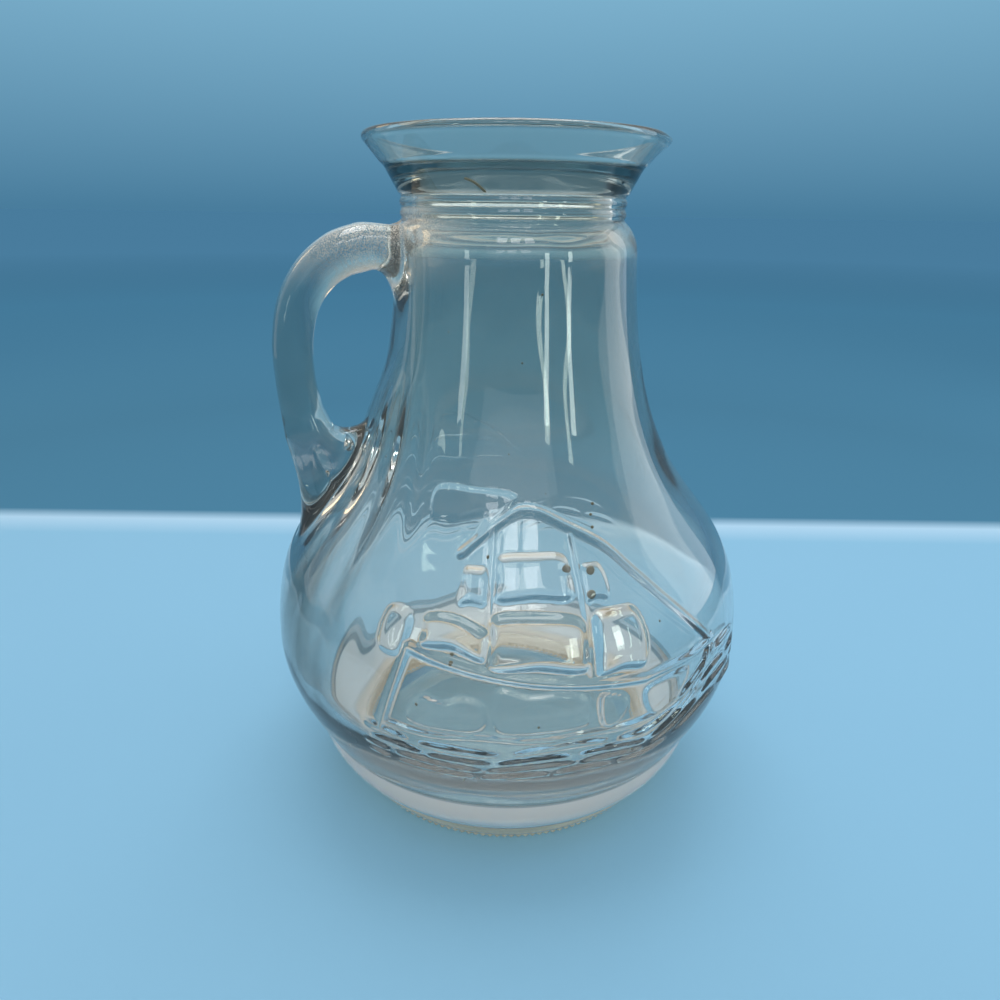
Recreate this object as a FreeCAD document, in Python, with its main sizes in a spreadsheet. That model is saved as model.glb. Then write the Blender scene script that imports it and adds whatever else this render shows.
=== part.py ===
"""Clear glass pitcher with a pear-shaped body, a flared mouth with a pouring lip and a loop handle.

The origin is the middle of the base on the surface it stands on, +Z is up, the handle points
along -X and the pouring lip along +X. All sizes are in millimetres.
"""

import FreeCAD, Part
import os
import re
import Sketcher

NODE = "pitcher_glass"

SIZES = {
    # overall
    "total_height": 212.0,
    "wall_body": 4.0,
    "wall_heel": 5.6,
    "wall_neck": 3.6,
    "wall_lip": 3.0,
    # foot: a rolled ring, then a band, each ending in a crease
    "foot_radius": 56.2,
    "foot_edge_rounding": 1.8,
    "roll_height": 10.6,
    "roll_radius": 62.4,
    "roll_curvature": 30.0,
    "band_height": 25.8,
    "band_radius": 69.3,
    "band_curvature": 22.0,
    "crease_step": 0.7,
    "underside_radius": 45.0,
    "underside_rise": 4.0,
    "floor_height": 9.0,
    "floor_radius": 42.0,
    "floor_pull": 13.0,
    # belly and neck
    "belly_radius": 80.0,
    "belly_height": 56.0,
    "belly_pull_down": 11.0,
    "belly_pull_up": 55.0,
    "band_pull_out": 4.6,
    "band_pull_up": 9.0,
    "neck_radius": 38.3,
    "neck_height": 178.7,
    "neck_pull_down": 89.0,
    "neck_pull_out": 4.4,
    # waist and two beads under the mouth
    "waist_radius": 33.5,
    "waist_height": 188.6,
    "shoulder_pull": 4.8,
    "bead_pitch": 3.1,
    "bead_count": 2.0,
    "bead_curvature": 1.9,
    # mouth: a steep band with a ledge inside it, then the flare
    "throat_radius": 30.2,
    "ledge_height": 203.2,
    "ledge_width": 5.8,
    "collar_radius": 34.5,
    "collar_flare": 4.2,
    "flare_step": 0.7,
    "lip_radius": 44.7,
    "lip_depth": 2.0,
    "lip_rounding": 1.3,
    # pouring lip
    "spout_reach": 50.0,
    "spout_nose_radius": 15.5,
    "spout_depth": 9.0,
    "spout_lean": 13.0,
    # handle
    "handle_width": 17.0,
    "handle_rounding": 5.2,
    "handle_reach": 74.2,
    "handle_top": 187.6,
    "grip_height": 151.0,
    "top_pull_out": 34.0,
    "grip_pull_up": 23.0,
    "grip_pull_down": 19.0,
    "root_inset": 11.0,
    "root_height": 96.0,
    "root_pull_up": 18.0,
    "root_pull_out": 3.6,
    "gap_reach": 62.2,
    "gap_top": 172.0,
    "gap_bottom": 124.8,
    "gap_crown": 48.5,
    "gap_crotch": 53.6,
    "gap_pull": 9.0,
    "gap_corner": 6.5,
    "root_sink": 9.0,
}

doc = FreeCAD.newDocument("GlassPitcher")


def make_sheet():
    """Write every driving size into the sheet under its own name."""
    sheet = doc.addObject("Spreadsheet::Sheet", "Sizes")
    for row, (alias, value) in enumerate(SIZES.items(), start=1):
        sheet.set(f"A{row}", alias)
        sheet.set(f"B{row}", str(value))
        sheet.setAlias(f"B{row}", alias)
    doc.recompute()
    return sheet


def named(expression):
    """Turn words of the sheet into full references, so 'wall_lip' reads 'Sizes.wall_lip'."""
    return re.sub(r"[a-z]\w*", lambda word: f"Sizes.{word[0]}", expression)


def number(expression):
    """The value of an expression in words of the sheet."""
    return float(doc.Sizes.evalExpression(named(expression)))


def new_sketch(body, name, role="XZ_Plane", lift=None):
    """A sketch on one of the body's own origin planes, lifted along its normal if asked."""
    sketch = body.newObject("Sketcher::SketchObject", name)
    plane = next(item for item in body.Origin.OriginFeatures if item.Role == role)
    sketch.AttachmentSupport = (plane, [""])
    sketch.MapMode = "FlatFace"
    if lift:
        sketch.setExpression("AttachmentOffset.Base.z", named(lift))
    return sketch


def tie(sketch, geometry, end, point):
    """Tie one end of a sketch element to a pair of sheet expressions."""
    for kind, expression in zip(("DistanceX", "DistanceY"), point):
        value = number(expression)
        index = sketch.addConstraint(Sketcher.Constraint(kind, -1, 1, geometry, end, value))
        sketch.setExpression(f"Constraints[{index}]", named(expression))


def vector(point):
    return FreeCAD.Vector(number(point[0]), number(point[1]), 0)


def add_line(sketch, start, end):
    line = sketch.addGeometry(Part.LineSegment(vector(start), vector(end)))
    tie(sketch, line, 1, start)
    tie(sketch, line, 2, end)


def add_arc(sketch, start, end, radius):
    """An arc that bulges to the right of the way from start to end."""
    first, last = vector(start), vector(end)
    chord = last - first
    side = FreeCAD.Vector(chord.y, -chord.x, 0).normalize()
    size = number(radius)
    rise = size - (size**2 - (chord.Length / 2) ** 2) ** 0.5
    middle = (first + last) / 2 + side * rise
    arc = sketch.addGeometry(Part.Arc(first, middle, last))
    tie(sketch, arc, 1, start)
    tie(sketch, arc, 2, end)
    index = sketch.addConstraint(Sketcher.Constraint("Radius", arc, size))
    sketch.setExpression(f"Constraints[{index}]", named(radius))


def add_curve(sketch, *poles):
    """A cubic curve from the first pole to the last; the two between pull it."""
    circles = []
    for pole in poles:
        circle = Part.Circle(vector(pole), FreeCAD.Vector(0, 0, 1), 1.0)
        circles.append(sketch.addGeometry(circle, True))
        tie(sketch, circles[-1], 3, pole)
    sketch.addConstraint(Sketcher.Constraint("Weight", circles[0], 1.0))
    for circle in circles[1:]:
        sketch.addConstraint(Sketcher.Constraint("Equal", circles[0], circle))
    spline = Part.BSplineCurve([vector(pole) for pole in poles], None, None, False, 3, None, False)
    curve = sketch.addGeometry(spline)
    for index, circle in enumerate(circles):
        kind = "InternalAlignment:Sketcher::BSplineControlPoint"
        sketch.addConstraint(Sketcher.Constraint(kind, circle, 3, curve, index))


def outer_profile(body):
    """Half section of the vessel with no cavity, from the axis under the base to the axis on top."""
    sketch = new_sketch(body, "OuterProfile")
    centre = ("0", "underside_rise")
    rest = ("underside_radius", "0")
    foot_flat = ("foot_radius - foot_edge_rounding", "0")
    foot = ("foot_radius", "foot_edge_rounding")
    roll = ("roll_radius", "roll_height")
    band = ("band_radius", "band_height")
    shoulder_foot = ("band_radius + crease_step", "band_height + crease_step")
    belly = ("belly_radius", "belly_height")
    neck = ("neck_radius", "neck_height")
    waist = ("waist_radius", "waist_height")
    add_curve(sketch, centre, ("underside_radius / 2", "underside_rise"),
              ("underside_radius - underside_rise", "0"), rest)
    add_line(sketch, rest, foot_flat)
    add_arc(sketch, foot_flat, foot, "foot_edge_rounding")
    add_arc(sketch, foot, roll, "roll_curvature")
    add_arc(sketch, roll, band, "band_curvature")
    add_line(sketch, band, shoulder_foot)
    add_curve(sketch, shoulder_foot,
              ("band_radius + crease_step + band_pull_out", "band_height + crease_step + band_pull_up"),
              ("belly_radius", "belly_height - belly_pull_down"), belly)
    add_curve(sketch, belly, ("belly_radius", "belly_height + belly_pull_up"),
              ("neck_radius + neck_pull_out", "neck_height - neck_pull_down"), neck)
    add_curve(sketch, neck, ("neck_radius", "neck_height + shoulder_pull"),
              ("waist_radius + shoulder_pull / 2", "waist_height - shoulder_pull / 3"), waist)
    last = waist
    for bead in range(int(number("bead_count"))):
        top = ("waist_radius", f"waist_height + bead_pitch * {bead + 1}")
        add_arc(sketch, last, top, "bead_curvature")
        last = top
    collar = ("collar_radius", "waist_height + bead_pitch * bead_count + crease_step")
    collar_top = ("collar_radius + collar_flare", "ledge_height")
    flare = ("collar_radius + collar_flare + flare_step", "ledge_height + flare_step / 2")
    lip = ("lip_radius", "total_height - lip_depth")
    crown = ("lip_radius - lip_rounding", "total_height")
    top_centre = ("0", "total_height")
    lip_side = ("lip_radius", "total_height - lip_rounding")
    for end in (collar, collar_top, flare, lip, lip_side):
        add_line(sketch, last, end)
        last = end
    add_arc(sketch, lip_side, crown, "lip_rounding")
    add_line(sketch, crown, top_centre)
    add_line(sketch, top_centre, centre)
    return sketch


def cavity_profile(body):
    """Half section of the room inside, from its floor to past the mouth."""
    sketch = new_sketch(body, "CavityProfile")
    past_mouth = "total_height + wall_lip"
    floor_centre = ("0", "floor_height")
    floor = ("floor_radius", "floor_height")
    heel = ("band_radius - wall_heel", "band_height + crease_step")
    belly = ("belly_radius - wall_body", "belly_height")
    neck = ("neck_radius - wall_neck", "neck_height")
    throat = ("throat_radius", "waist_height")
    ledge = ("throat_radius", "ledge_height - crease_step")
    flare = ("throat_radius + ledge_width", "ledge_height")
    lip = ("lip_radius - wall_lip", "total_height - lip_rounding")
    crown = ("lip_radius - wall_lip + lip_rounding", "total_height")
    open_top = ("lip_radius - wall_lip + lip_rounding", past_mouth)
    add_line(sketch, floor_centre, floor)
    add_curve(sketch, floor, ("floor_radius + floor_pull", "floor_height"),
              ("band_radius - wall_heel - band_pull_out", "band_height + crease_step - band_pull_up"),
              heel)
    add_curve(sketch, heel,
              ("band_radius - wall_heel + band_pull_out", "band_height + crease_step + band_pull_up"),
              ("belly_radius - wall_body", "belly_height - belly_pull_down"), belly)
    add_curve(sketch, belly,
              ("belly_radius - wall_body", "belly_height + belly_pull_up - wall_body"),
              ("neck_radius - wall_neck + neck_pull_out", "neck_height - neck_pull_down - wall_body"),
              neck)
    add_curve(sketch, neck, ("neck_radius - wall_neck", "neck_height + shoulder_pull"),
              ("throat_radius", "waist_height - shoulder_pull"), throat)
    for start, end in ((throat, ledge), (ledge, flare), (flare, lip)):
        add_line(sketch, start, end)
    add_arc(sketch, crown, lip, "lip_rounding")
    add_line(sketch, crown, open_top)
    add_line(sketch, open_top, ("0", past_mouth))
    add_line(sketch, ("0", past_mouth), floor_centre)
    return sketch


def handle_profile(body):
    """Side outline of the handle, a C whose two ends stop inside the vessel's wall."""
    sketch = new_sketch(body, "HandleProfile")
    top = ("-(waist_radius - root_sink / 2)", "handle_top")
    grip = ("-handle_reach", "grip_height")
    root = ("-(belly_radius - root_inset)", "root_height")
    root_inside = ("-(belly_radius - root_inset - root_sink)", "root_height - root_sink")
    under_crotch = ("-(neck_radius - root_sink / 2)", "gap_bottom - root_sink")
    crotch_wall = ("-(neck_radius + root_sink / 2)", "gap_bottom + root_sink + crease_step")
    crotch = ("-gap_crotch", "gap_bottom")
    gap_side = ("-gap_reach", "grip_height")
    gap_crown = ("-gap_crown", "gap_top")
    corner_wall = ("-(neck_radius - root_sink / 3)", "gap_top - gap_corner * 2")
    corner_inside = ("-(waist_radius - root_sink / 2)", "gap_top - gap_corner * 2")
    add_curve(sketch, top, ("-(waist_radius - root_sink / 2 + top_pull_out)", "handle_top"),
              ("-handle_reach", "grip_height + grip_pull_up"), grip)
    add_curve(sketch, grip, ("-handle_reach", "grip_height - grip_pull_down"),
              ("-(belly_radius - root_inset + root_pull_out)", "root_height + root_pull_up"), root)
    add_line(sketch, root, root_inside)
    add_line(sketch, root_inside, under_crotch)
    add_line(sketch, under_crotch, crotch_wall)
    add_curve(sketch, crotch_wall, ("-(neck_radius + root_sink)", "gap_bottom + root_sink / 2"),
              ("-(gap_crotch - gap_pull / 3)", "gap_bottom"), crotch)
    add_curve(sketch, crotch, ("-(gap_crotch + gap_pull * 0.8)", "gap_bottom"),
              ("-gap_reach", "grip_height - gap_pull"), gap_side)
    add_curve(sketch, gap_side, ("-gap_reach", "grip_height + gap_pull * 1.2"),
              ("-(gap_crown + gap_pull)", "gap_top"), gap_crown)
    add_curve(sketch, gap_crown, ("-(gap_crown - gap_corner)", "gap_top"),
              ("-(neck_radius)", "gap_top - gap_corner / 2"), corner_wall)
    add_line(sketch, corner_wall, corner_inside)
    add_line(sketch, corner_inside, top)
    return sketch


def make_handle(body):
    """A plate as wide as the handle, cut to its outline, with its long edges rounded."""
    plate = body.newObject("PartDesign::Pad", "HandlePlate")
    plate.Profile = handle_profile(body)
    plate.SideType = "Symmetric"
    plate.setExpression("Length", named("handle_width"))
    doc.recompute()
    curved = [
        f"Edge{index}"
        for index, edge in enumerate(plate.Shape.Edges, start=1)
        if isinstance(edge.Curve, Part.BSplineCurve)
    ]
    rounding = body.newObject("PartDesign::Fillet", "HandleRounding")
    rounding.Base = (plate, curved)
    rounding.setExpression("Radius", named("handle_rounding"))
    return rounding


def make_circle(body, name, centre_x, radius, lift):
    sketch = new_sketch(body, name, "XY_Plane", lift)
    circle = Part.Circle(FreeCAD.Vector(number(centre_x), 0, 0), FreeCAD.Vector(0, 0, 1), number(radius))
    index = sketch.addGeometry(circle)
    tie(sketch, index, 3, (centre_x, "0"))
    size = sketch.addConstraint(Sketcher.Constraint("Radius", index, number(radius)))
    sketch.setExpression(f"Constraints[{size}]", named(radius))
    return sketch


def make_spout(body, kind, name, sections):
    """A loft through circles, each given as its radius and its depth under the mouth's top."""
    reach = "spout_reach - spout_nose_radius"
    circles = [
        make_circle(body, f"{name}{index}", f"{reach} - spout_lean * ({depth}) / spout_depth", radius,
                    f"total_height - ({depth})")
        for index, (radius, depth) in enumerate(sections, start=1)
    ]
    loft = body.newObject(kind, name)
    loft.Profile = circles[0]
    loft.Sections = circles[1:]
    loft.Ruled = True
    return loft


def make_pitcher():
    body = doc.addObject("PartDesign::Body", "Pitcher")
    body.Label = NODE
    make_handle(body)

    vessel = body.newObject("PartDesign::Revolution", "Vessel")
    vessel.Profile = outer_profile(body)
    vessel.ReferenceAxis = (vessel.Profile[0], ["V_Axis"])
    vessel.Angle = 360
    nose = "spout_nose_radius"
    make_spout(body, "PartDesign::AdditiveLoft", "SpoutNose",
               ((nose, "spout_depth"), (nose, "lip_rounding"), (nose + " - lip_rounding", "0")))

    cavity = body.newObject("PartDesign::Groove", "Cavity")
    cavity.Profile = cavity_profile(body)
    cavity.ReferenceAxis = (cavity.Profile[0], ["V_Axis"])
    cavity.Angle = 360
    channel = "spout_nose_radius - wall_lip"
    make_spout(body, "PartDesign::SubtractiveLoft", "SpoutChannel",
               ((channel, "spout_depth"), (channel, "lip_rounding"), (channel + " + lip_rounding", "0"),
                (channel + " + lip_rounding", "-wall_lip")))
    body.Placement = FreeCAD.Placement()
    doc.recompute()
    return body


def check_and_write(part):
    """Stop on any failed object, then write the sub-part to its file."""
    for item in doc.Objects:
        if {"Invalid", "Error"} & set(item.State):
            raise RuntimeError(f"{item.Name} failed: {item.State}")
    shape = part.Shape
    if shape.isNull() or not shape.isValid() or len(shape.Solids) != 1:
        raise RuntimeError(f"{part.Label} is not one valid solid")
    os.makedirs("parts", exist_ok=True)
    shape.exportStep(f"parts/{part.Label}.step")
    box = shape.optimalBoundingBox(True, False)
    print(part.Label, "volume cm3", round(shape.Volume / 1000, 1))
    print("x", round(box.XMin, 2), round(box.XMax, 2), "y", round(box.YMin, 2), round(box.YMax, 2),
          "z", round(box.ZMin, 2), round(box.ZMax, 2))


make_sheet()
check_and_write(make_pitcher())
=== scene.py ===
"""Looks of the clear glass pitcher.

One closed mesh replaces the CAD solid: a turned vessel whose outside carries the pressed relief of a
ship on waves, with the handle grown out of it, so the glass has one continuous skin. Sizes are in
millimetres, as in the CAD model, and turn into metres when the mesh is made.
"""

import math
import bpy
import numpy as np
from mathutils import Matrix


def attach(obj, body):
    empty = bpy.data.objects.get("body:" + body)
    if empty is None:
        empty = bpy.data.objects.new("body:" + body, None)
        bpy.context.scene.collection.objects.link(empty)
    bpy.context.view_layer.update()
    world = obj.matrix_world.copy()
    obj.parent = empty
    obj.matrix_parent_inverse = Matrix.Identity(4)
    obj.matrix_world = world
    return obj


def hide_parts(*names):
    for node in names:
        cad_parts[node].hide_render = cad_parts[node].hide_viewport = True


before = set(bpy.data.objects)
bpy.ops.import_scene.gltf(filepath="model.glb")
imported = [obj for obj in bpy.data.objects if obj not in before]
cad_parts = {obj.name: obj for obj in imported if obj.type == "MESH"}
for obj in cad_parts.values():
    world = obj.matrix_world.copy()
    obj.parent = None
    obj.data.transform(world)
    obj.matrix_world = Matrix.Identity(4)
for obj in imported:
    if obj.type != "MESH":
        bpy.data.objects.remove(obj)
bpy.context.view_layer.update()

MM = 0.001

# Sizes of the vessel, as in the CAD model.
TOTAL_HEIGHT = 212.0
WALL_BODY, WALL_HEEL, WALL_NECK, WALL_LIP = 4.0, 5.6, 3.6, 3.0
UNDERSIDE_RADIUS, UNDERSIDE_RISE = 45.0, 4.0
FOOT_RADIUS, FOOT_EDGE = 56.2, 1.8
ROLL_RADIUS, ROLL_HEIGHT, ROLL_CURVATURE = 62.4, 10.6, 30.0
BAND_RADIUS, BAND_HEIGHT, BAND_CURVATURE, CREASE_STEP = 69.3, 25.8, 22.0, 0.7
BAND_PULL_OUT, BAND_PULL_UP = 4.6, 9.0
FLOOR_RADIUS, FLOOR_HEIGHT, FLOOR_PULL = 42.0, 9.0, 13.0
BELLY_RADIUS, BELLY_HEIGHT, BELLY_PULL_DOWN, BELLY_PULL_UP = 80.0, 56.0, 11.0, 55.0
NECK_RADIUS, NECK_HEIGHT, NECK_PULL_OUT, NECK_PULL_DOWN = 38.3, 178.7, 4.4, 89.0
SHOULDER_PULL, WAIST_PULL_OUT, WAIST_PULL_DOWN = 4.8, 2.4, 1.6
WAIST_RADIUS, WAIST_HEIGHT = 33.5, 188.6
BEAD_PITCH, BEAD_COUNT, BEAD_CURVATURE = 3.1, 2, 1.9
COLLAR_RADIUS, COLLAR_FLARE, FLARE_STEP = 34.5, 4.2, 0.7
THROAT_RADIUS, LEDGE_HEIGHT, LEDGE_WIDTH = 30.2, 203.2, 5.8
LIP_RADIUS, LIP_DEPTH, LIP_ROUNDING = 44.7, 2.0, 1.3
SPOUT_REACH = 50.0
HANDLE_ANGLE = 180.0


# Outline of the vessel's half section, from the middle of the underside round to the floor inside.

CURVE_POINTS, ARC_POINTS = 400, 60
LINE_STEP, CORNER_SOFTENING = 0.05, 0.45
FOOT_RUN = 60.0  # this far along the outline the wall rises, past the underside


def cubic(*poles):
    """A dense run of points along a cubic curve."""
    along = np.linspace(0, 1, CURVE_POINTS)[:, None]
    poles = np.array(poles, float)
    back = 1 - along
    return (back**3 * poles[0] + 3 * back**2 * along * poles[1]
            + 3 * back * along**2 * poles[2] + along**3 * poles[3])


def arc(start, end, radius):
    """Points along an arc that bulges to the right of the way from start to end."""
    start, end = np.array(start, float), np.array(end, float)
    chord = end - start
    half = np.hypot(*chord) / 2
    side = np.array([chord[1], -chord[0]]) / (2 * half)
    centre = (start + end) / 2 - side * math.sqrt(radius**2 - half**2)
    spread = math.asin(half / radius)
    turn = np.linspace(-spread, spread, ARC_POINTS)[:, None]
    return centre + radius * (side * np.cos(turn) + chord / (2 * half) * np.sin(turn))


def outline():
    """The outer run and the inner run of the half section, as (radius, height) points."""
    band_top = (BAND_RADIUS + CREASE_STEP, BAND_HEIGHT + CREASE_STEP)
    belly, neck = (BELLY_RADIUS, BELLY_HEIGHT), (NECK_RADIUS, NECK_HEIGHT)
    beads = [(WAIST_RADIUS, WAIST_HEIGHT + BEAD_PITCH * count) for count in range(BEAD_COUNT + 1)]
    crown = TOTAL_HEIGHT - LIP_ROUNDING
    outer = [
        cubic((0, UNDERSIDE_RISE), (UNDERSIDE_RADIUS / 2, UNDERSIDE_RISE),
              (UNDERSIDE_RADIUS - UNDERSIDE_RISE, 0), (UNDERSIDE_RADIUS, 0)),
        arc((FOOT_RADIUS - FOOT_EDGE, 0), (FOOT_RADIUS, FOOT_EDGE), FOOT_EDGE),
        arc((FOOT_RADIUS, FOOT_EDGE), (ROLL_RADIUS, ROLL_HEIGHT), ROLL_CURVATURE),
        arc((ROLL_RADIUS, ROLL_HEIGHT), (BAND_RADIUS, BAND_HEIGHT), BAND_CURVATURE),
        cubic(band_top, (band_top[0] + BAND_PULL_OUT, band_top[1] + BAND_PULL_UP),
              (BELLY_RADIUS, BELLY_HEIGHT - BELLY_PULL_DOWN), belly),
        cubic(belly, (BELLY_RADIUS, BELLY_HEIGHT + BELLY_PULL_UP),
              (NECK_RADIUS + NECK_PULL_OUT, NECK_HEIGHT - NECK_PULL_DOWN), neck),
        cubic(neck, (NECK_RADIUS, NECK_HEIGHT + SHOULDER_PULL),
              (WAIST_RADIUS + WAIST_PULL_OUT, WAIST_HEIGHT - WAIST_PULL_DOWN), beads[0]),
        *[arc(low, high, BEAD_CURVATURE) for low, high in zip(beads, beads[1:])],
        [(COLLAR_RADIUS, beads[-1][1] + CREASE_STEP), (COLLAR_RADIUS + COLLAR_FLARE, LEDGE_HEIGHT),
         (COLLAR_RADIUS + COLLAR_FLARE + FLARE_STEP, LEDGE_HEIGHT + FLARE_STEP / 2),
         (LIP_RADIUS, TOTAL_HEIGHT - LIP_DEPTH)],
        arc((LIP_RADIUS, crown), (LIP_RADIUS - LIP_ROUNDING, TOTAL_HEIGHT), LIP_ROUNDING),
    ]
    lip_inside = LIP_RADIUS - WALL_LIP
    heel = (BAND_RADIUS - WALL_HEEL, BAND_HEIGHT + CREASE_STEP)
    belly_inside = (BELLY_RADIUS - WALL_BODY, BELLY_HEIGHT)
    neck_inside = (NECK_RADIUS - WALL_NECK, NECK_HEIGHT)
    inner = [
        arc((lip_inside + LIP_ROUNDING, TOTAL_HEIGHT), (lip_inside, crown), LIP_ROUNDING),
        [(THROAT_RADIUS + LEDGE_WIDTH, LEDGE_HEIGHT), (THROAT_RADIUS, LEDGE_HEIGHT - CREASE_STEP)],
        cubic((THROAT_RADIUS, WAIST_HEIGHT), (THROAT_RADIUS, WAIST_HEIGHT - SHOULDER_PULL),
              (neck_inside[0], NECK_HEIGHT + SHOULDER_PULL), neck_inside),
        cubic(neck_inside, (neck_inside[0] + NECK_PULL_OUT, NECK_HEIGHT - NECK_PULL_DOWN - WALL_BODY),
              (belly_inside[0], BELLY_HEIGHT + BELLY_PULL_UP - WALL_BODY), belly_inside),
        cubic(belly_inside, (belly_inside[0], BELLY_HEIGHT - BELLY_PULL_DOWN),
              (heel[0] + BAND_PULL_OUT, heel[1] + BAND_PULL_UP), heel),
        cubic(heel, (heel[0] - BAND_PULL_OUT, heel[1] - BAND_PULL_UP),
              (FLOOR_RADIUS + FLOOR_PULL, FLOOR_HEIGHT), (FLOOR_RADIUS, FLOOR_HEIGHT)),
        [(0, FLOOR_HEIGHT)],
    ]
    return [np.vstack([np.array(run, float) for run in side]) for side in (outer, inner)]


def even(points, step):
    """The same line with points a fixed step apart."""
    gaps = np.hypot(*np.diff(points, axis=0).T)
    keep = np.concatenate([[True], gaps > 1e-9])
    points = points[keep]
    length = np.concatenate([[0], np.cumsum(np.hypot(*np.diff(points, axis=0).T))])
    places = np.linspace(0, length[-1], int(length[-1] / step) + 1)
    return np.stack([np.interp(places, length, points[:, axis]) for axis in (0, 1)], axis=1), places


def softened(points, reach):
    """Rounds the corners of an even line as fire polishing does, leaving its ends in place."""
    count = int(reach / LINE_STEP * 3)
    weights = np.exp(-0.5 * (np.arange(-count, count + 1) * LINE_STEP / reach) ** 2)
    weights /= weights.sum()
    before = 2 * points[0] - points[count:0:-1]
    after = 2 * points[-1] - points[-2:-count - 2:-1]
    padded = np.vstack([before, points, after])
    return np.stack([np.convolve(padded[:, axis], weights, "valid") for axis in (0, 1)], axis=1)


line, line_length = even(np.vstack(outline()), LINE_STEP)
line = softened(line, CORNER_SOFTENING)
line[0, 0] = line[-1, 0] = 0.0
line_slope = np.gradient(line, LINE_STEP, axis=0)
crown_index = int(np.argmax(line[:, 1]))
crown_length = line_length[crown_index]


def length_at(height):
    """Distance along the outline to a height on the outer wall."""
    part = slice(int(FOOT_RUN / LINE_STEP), crown_index)
    heights, lengths = line[part, 1], line_length[part]
    order = np.argsort(heights)
    return float(np.interp(height, heights[order], lengths[order]))


def smooth(value):
    """0 to 1 with soft ends."""
    value = np.clip(value, 0, 1)
    return value * value * (3 - 2 * value)


# The grid of the vessel: angles round the axis and distances along the outline. Steps are degrees
# for columns and millimetres for rows.

SHIP_FRONT, SHIP_BACK, SHIP_SPREAD = 259.0, 101.0, 62.0
HANDLE_SPREAD = 25.0
SHIP_COLUMNS, HANDLE_COLUMNS, OTHER_COLUMNS = 0.46, 0.6, 0.66
DETAIL_ROWS, CARVED_ROWS, NECK_ROWS, OTHER_ROWS = 0.44, 0.6, 1.1, 2.0
COLLAR_START, BAND_END, CARVED_START, CARVED_END, NECK_END = 184.0, 28.0, 26.0, 122.0, 190.0
FLAT_FLOOR_RUN = 45.0
FINE_PLACES = 8001


def spaced(start, end, spacing):
    """Places from start to end whose gaps follow spacing(place)."""
    fine = np.linspace(start, end, FINE_PLACES)
    weight = 1 / spacing(fine)
    total = np.concatenate([[0], np.cumsum((weight[1:] + weight[:-1]) / 2 * np.diff(fine))])
    count = 2 * round(total[-1] / 2)
    return np.interp(np.linspace(0, total[-1], count + 1), total, fine)


def angle_step(angle):
    """Gap between columns at an angle."""
    on_ship = np.minimum(np.abs(angle - SHIP_FRONT), np.abs(angle - SHIP_BACK)) < SHIP_SPREAD
    by_handle = np.abs(angle - HANDLE_ANGLE) < HANDLE_SPREAD
    return np.select([by_handle, on_ship], [HANDLE_COLUMNS, SHIP_COLUMNS], OTHER_COLUMNS)


def row_step(length):
    """Gap between rows at a distance along the outline."""
    height = np.interp(length, line_length, line[:, 1])
    outside = length < crown_length
    detail = (height > COLLAR_START) | (outside & (height < BAND_END))
    above_band = outside & (height > CARVED_START)
    carved, neck = above_band & (height < CARVED_END), above_band & (height < NECK_END)
    flat = (length < UNDERSIDE_RADIUS) | (length > line_length[-1] - FLAT_FLOOR_RUN)
    return np.select([flat, detail, carved, neck], [OTHER_ROWS, DETAIL_ROWS, CARVED_ROWS, NECK_ROWS],
                     OTHER_ROWS)


angles = spaced(0, 360, angle_step)[:-1]
rows = spaced(0, line_length[-1], row_step)
middle_column = len(angles) // 2


class Root:
    """A block of the grid that the handle grows from."""

    def __init__(self, low, high, columns):
        self.low, self.high = low, high
        self.left, self.right = middle_column - columns // 2, middle_column + columns // 2
        self.count = 2 * (self.high - self.low + self.right - self.left)
        self.centre = ((angles[self.left] + angles[self.right]) / 2, (rows[low] + rows[high]) / 2)
        self.half = ((angles[self.right] - angles[self.left]) / 2, (rows[high] - rows[low]) / 2)

    def loop(self, from_top):
        """Grid places round the block, from the middle of its top (or bottom) edge towards +Y."""
        first, last = (self.high, self.low) if from_top else (self.low, self.high)
        step = -1 if from_top else 1
        places = [(first, column) for column in range(middle_column, self.left, -1)]
        places += [(row, self.left) for row in range(first, last, step)]
        places += [(last, column) for column in range(self.left, self.right)]
        places += [(row, self.right) for row in range(last, first, -step)]
        places += [(first, column) for column in range(self.right, middle_column, -1)]
        return places


def row_near(height):
    """The grid row nearest to a height on the outer wall."""
    return int(np.argmin(np.abs(rows - length_at(height))))


# Both roots have the same number of points round their edges, so the low one's columns follow from
# its rows.
TOP_ROOT, TOP_ROOT_COLUMNS, LOW_ROOT = (164.0, 189.2), 70, (87.0, 129.5)
top_root = Root(*map(row_near, TOP_ROOT), TOP_ROOT_COLUMNS)
low_rows = [row_near(height) for height in LOW_ROOT]
low_rows[1] += (top_root.count // 2 - low_rows[1] + low_rows[0]) % 2
low_root = Root(*low_rows, top_root.count // 2 - low_rows[1] + low_rows[0])

angle_grid, length_grid = np.meshgrid(angles, rows)
BLOCK_POWER, BLOCK_REACH, BLOCK_FADE = 2.6, 1.9, 0.9


def to_oval(across, along, power):
    """What scales a place in a square so that it lies on a squarish oval."""
    return (np.abs(across) ** power + np.abs(along) ** power) ** (-1 / power)


def round_block(root):
    """Slides grid points so that the block's square edge becomes a soft oval."""
    across = (angle_grid - root.centre[0]) / root.half[0]
    along = (length_grid - root.centre[1]) / root.half[1]
    size = np.maximum(np.maximum(np.abs(across), np.abs(along)), 1e-6)
    oval = to_oval(across / size, along / size, BLOCK_POWER)
    pull = 1 + (oval - 1) * smooth((BLOCK_REACH - size) / BLOCK_FADE)
    near = size < BLOCK_REACH
    angle_grid[near] = (root.centre[0] + across * pull * root.half[0])[near]
    length_grid[near] = (root.centre[1] + along * pull * root.half[1])[near]


round_block(top_root)
round_block(low_root)


# The pressed relief. Places are (millimetres to the right of the hull's middle, height).

RELIEF_RADIUS = 76.0
BACK_STRENGTH = 0.25


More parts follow.
